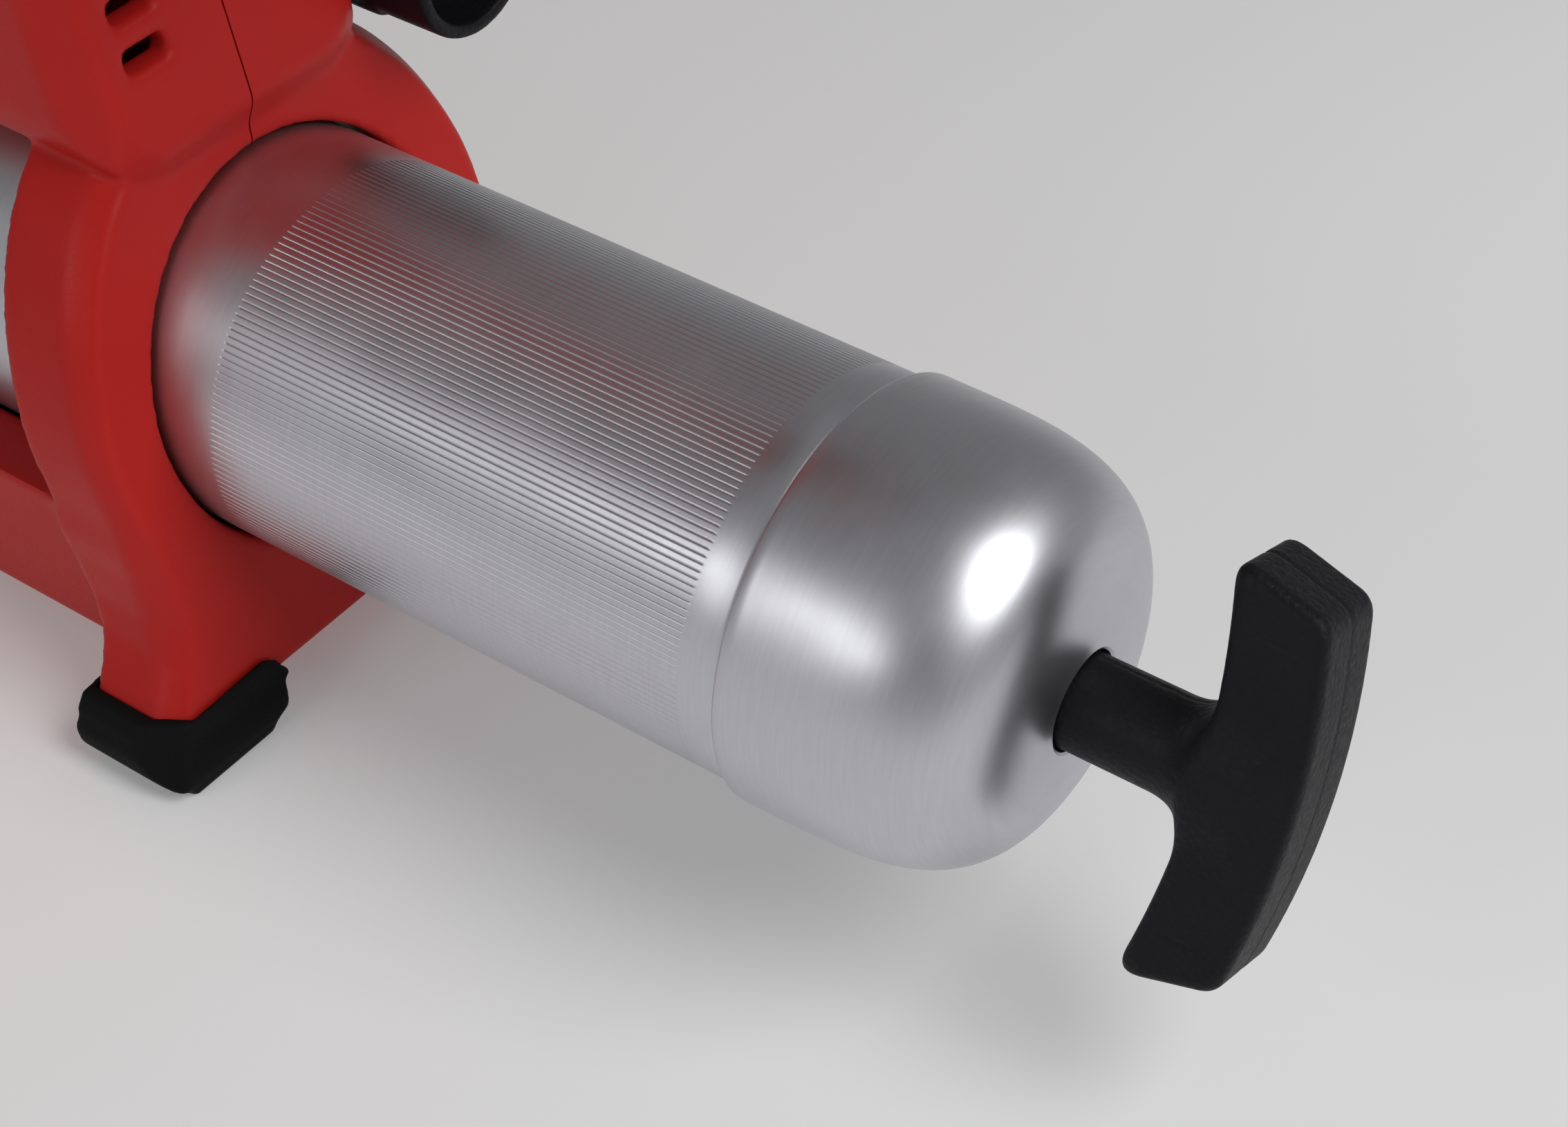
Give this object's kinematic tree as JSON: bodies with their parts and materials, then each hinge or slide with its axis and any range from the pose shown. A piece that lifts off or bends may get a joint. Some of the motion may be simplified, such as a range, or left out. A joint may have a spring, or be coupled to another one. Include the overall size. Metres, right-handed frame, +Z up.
{
  "type": "cordless dispensing gun",
  "caption": "Cordless gun that presses grease or sealant out of a screw-in barrel: red clamshell body, knurled metal barrel, spring-fed plunger and T-handle.",
  "frame": {"origin": "centre of the bounding box in X and Y, on the ground plane under the feet", "axes": "+X along the barrel towards the outlet, +Y to the left of someone holding it, +Z up"},
  "size_m": [0.3572, 0.1, 0.2295],
  "materials": {
    "red_plastic": "satin, fine moulded texture",
    "black_plastic": "satin, fine moulded texture",
    "black_rubber": "matte",
    "anodised_aluminium": "brushed, straight knurl on the barrel",
    "cast_metal": "die cast, grained",
    "steel": "ground and plated",
    "brass": "turned",
    "circuit_board": "lacquered board",
    "clear_plastic": "clear, slightly diffusing"
  },
  "bodies": {
    "gun": {"housing_left": "red_plastic", "housing_right": "red_plastic", "screw_beam_rear": "steel", "screw_beam_front": "steel", "screw_rear_post": "steel", "screw_front_post": "steel", "screw_handle_front": "steel", "rear_foot_left": "black_rubber", "rear_foot_right": "black_rubber", "front_foot": "black_rubber", "barrel_seal": "black_rubber", "motor_can": "steel", "motor_bearing": "steel", "motor_bearing_seat": "black_plastic", "ring_gear": "steel", "gearcase": "cast_metal", "output_bearing": "steel", "pump_head": "cast_metal", "check_valve_plug": "steel", "check_spring": "steel", "outlet_fitting": "steel", "filler_nipple": "brass", "switch_module": "black_plastic", "control_board": "circuit_board", "work_light_lens": "clear_plastic", "terminal_block": "black_plastic", "grip_skin_left": "black_rubber", "grip_skin_right": "black_rubber", "coupler_holder": "black_plastic"},
    "barrel": {"barrel_tube": "anodised_aluminium", "end_cap": "anodised_aluminium", "rod_bush": "black_plastic", "follower_spring": "steel"},
    "rod_slider": {"rod_washer": "steel"},
    "rod": {"plunger_rod": "steel", "rod_nut": "steel", "t_handle": "black_plastic"},
    "follower": {"follower": "steel", "follower_seal": "black_rubber"},
    "trigger": {"trigger": "black_plastic"},
    "lock_button": {"lock_button": "black_plastic"},
    "speed_dial": {"speed_dial": "black_plastic"},
    "battery": {"battery_pack": "black_plastic"},
    "latch_left": {"battery_latch_left": "red_plastic"},
    "latch_right": {"battery_latch_right": "red_plastic"},
    "bleed_valve": {"bleed_valve": "brass"},
    "rotor": {"motor_rotor": "steel", "sun_gear": "steel", "cooling_fan": "black_plastic"},
    "carrier": {"planet_carrier": "steel", "crank": "steel"},
    "planet_a": {"planet_gear_a": "steel"},
    "planet_b": {"planet_gear_b": "steel"},
    "planet_c": {"planet_gear_c": "steel"},
    "yoke": {"yoke": "steel", "pump_piston": "steel"},
    "check_ball": {"check_ball": "steel"}
  },
  "joints": [
    {"name": "barrel_unscrew", "type": "hinge", "parent": "gun", "child": "barrel", "pos_m": [0, 0, 0.052], "axis": [-1, 0, 0], "range_deg": [0, 720]},
    {"name": "rod_slide", "type": "slide", "parent": "barrel", "child": "rod_slider", "axis": [-1, 0, 0], "range_m": [0, 0.19], "stiffness_N_per_m": 150, "springref_m": -0.12},
    {"name": "rod_turn", "type": "hinge", "parent": "rod_slider", "child": "rod", "pos_m": [0, 0, 0.052], "axis": [1, 0, 0], "continuous": true},
    {"name": "follower_slide", "type": "slide", "parent": "barrel", "child": "follower", "axis": [-1, 0, 0], "range_m": [0, 0.19], "deforming": ["follower_spring"]},
    {"name": "trigger_pull", "type": "hinge", "parent": "gun", "child": "trigger", "pos_m": [0.09255, 0, 0.193], "axis": [0, 1, 0], "range_deg": [0, 10], "stiffness_Nm_per_rad": 0.6, "springref_deg": -11.46},
    {"name": "lock_push", "type": "slide", "parent": "gun", "child": "lock_button", "axis": [0, 1, 0], "range_m": [-0.0025, 0.0025]},
    {"name": "dial_turn", "type": "hinge", "parent": "gun", "child": "speed_dial", "pos_m": [0.12355, 0, 0.213], "axis": [0, 1, 0], "range_deg": [0, 270]},
    {"name": "battery_slide", "type": "slide", "parent": "gun", "child": "battery", "axis": [-1, 0, 0], "range_m": [0, 0.07]},
    {"name": "latch_left_press", "type": "slide", "parent": "battery", "child": "latch_left", "axis": [0, -1, 0], "range_m": [0, 0.002], "stiffness_N_per_m": 1500, "springref_m": -0.002},
    {"name": "latch_right_press", "type": "slide", "parent": "battery", "child": "latch_right", "axis": [0, 1, 0], "range_m": [0, 0.002], "stiffness_N_per_m": 1500, "springref_m": -0.002},
    {"name": "bleed_turn", "type": "hinge", "parent": "gun", "child": "bleed_valve", "pos_m": [0.14555, 0, 0.074], "axis": [0, 1, 0], "range_deg": [0, 720]},
    {"name": "rotor_spin", "type": "hinge", "parent": "gun", "child": "rotor", "pos_m": [0.04655, 0, 0.118], "axis": [1, 0, 0], "continuous": true},
    {"name": "carrier_spin", "type": "hinge", "parent": "gun", "child": "carrier", "pos_m": [0.11655, 0, 0.118], "axis": [1, 0, 0], "continuous": true},
    {"name": "planet_spin_a", "type": "hinge", "parent": "carrier", "child": "planet_a", "pos_m": [0.08855, 0.012, 0.118], "axis": [1, 0, 0], "continuous": true},
    {"name": "planet_spin_b", "type": "hinge", "parent": "carrier", "child": "planet_b", "pos_m": [0.08855, -0.006, 0.12839], "axis": [1, 0, 0], "continuous": true},
    {"name": "planet_spin_c", "type": "hinge", "parent": "carrier", "child": "planet_c", "pos_m": [0.08855, -0.006, 0.10761], "axis": [1, 0, 0], "continuous": true},
    {"name": "yoke_slide", "type": "slide", "parent": "gun", "child": "yoke", "axis": [0, 0, 1], "range_m": [-0.004, 0.004]},
    {"name": "check_lift", "type": "slide", "parent": "gun", "child": "check_ball", "axis": [0, 0, -1], "range_m": [0, 0.004], "stiffness_N_per_m": 300, "springref_m": -0.003, "deforming": ["check_spring"]}
  ],
  "couplings": [
    {"joint": "follower_slide", "follows": "rod_slide", "ratio": 1},
    {"joint": "carrier_spin", "follows": "rotor_spin", "ratio": 0.2},
    {"joint": "planet_spin_a", "follows": "rotor_spin", "ratio": -0.53333},
    {"joint": "planet_spin_b", "follows": "rotor_spin", "ratio": -0.53333},
    {"joint": "planet_spin_c", "follows": "rotor_spin", "ratio": -0.53333}
  ]
}
